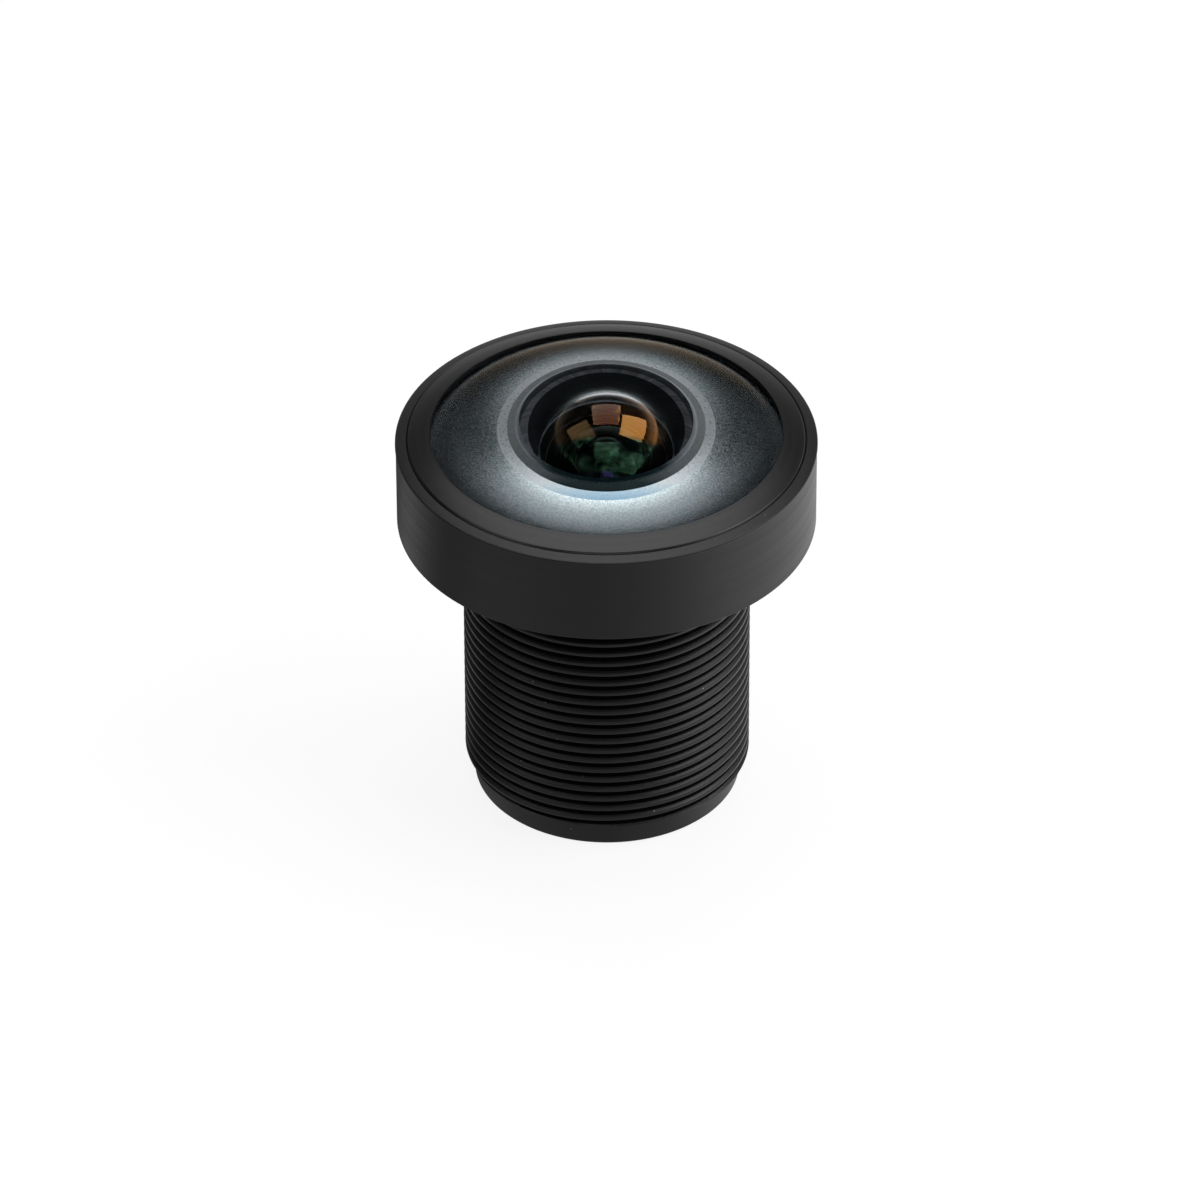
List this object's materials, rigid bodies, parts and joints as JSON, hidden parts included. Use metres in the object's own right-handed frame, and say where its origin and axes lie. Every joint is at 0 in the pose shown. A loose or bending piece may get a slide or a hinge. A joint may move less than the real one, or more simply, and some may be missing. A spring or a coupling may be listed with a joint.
{
  "type": "board camera lens",
  "caption": "Wide-angle board camera lens: black threaded barrel with a wide flat head, a domed front glass under a sloping ring, and a stack of lens elements inside.",
  "frame": {"origin": "centre of the barrel's rear end, on the optical axis", "axes": "+Z along the optical axis, from the rear end towards the domed front glass"},
  "size_m": [0.0175, 0.0174, 0.0195],
  "materials": {
    "barrel_anodised": "black anodised, satin, turned",
    "ring_anodised": "black anodised, fine satin",
    "seal_rubber": "matt black nitrile rubber",
    "baffle_black": "matt black anodised, grooved",
    "spacer_black": "matt black anodised",
    "filter_ring_black": "matt black anodised",
    "mask_film": "matt black polyester film",
    "stop_plate": "matt black painted thin plate",
    "front_glass": "polished, anti-reflection coated",
    "second_glass": "polished, anti-reflection coated",
    "third_glass": "polished, anti-reflection coated",
    "fourth_glass": "polished, anti-reflection coated",
    "fifth_glass": "polished, anti-reflection coated",
    "sixth_glass": "polished, anti-reflection coated",
    "seventh_glass": "polished, anti-reflection coated",
    "filter_glass": "polished, anti-reflection coated"
  },
  "bodies": {
    "root": {"lens_barrel": "barrel_anodised", "front_retaining_ring": "ring_anodised", "front_seal_ring": "seal_rubber", "front_element": "front_glass", "baffle_cone": "baffle_black", "second_element": "second_glass", "second_spacer": "spacer_black", "second_light_mask": "mask_film", "third_element": "third_glass", "stop_spacer": "spacer_black", "aperture_stop": "stop_plate", "stop_shim": "spacer_black", "fourth_element": "fourth_glass", "third_spacer": "spacer_black", "fifth_element": "fifth_glass", "sixth_element": "sixth_glass", "rear_light_mask": "mask_film", "fourth_spacer": "spacer_black", "seventh_element": "seventh_glass", "ir_cut_filter": "filter_glass", "filter_retaining_ring": "filter_ring_black"}
  },
  "joints": []
}
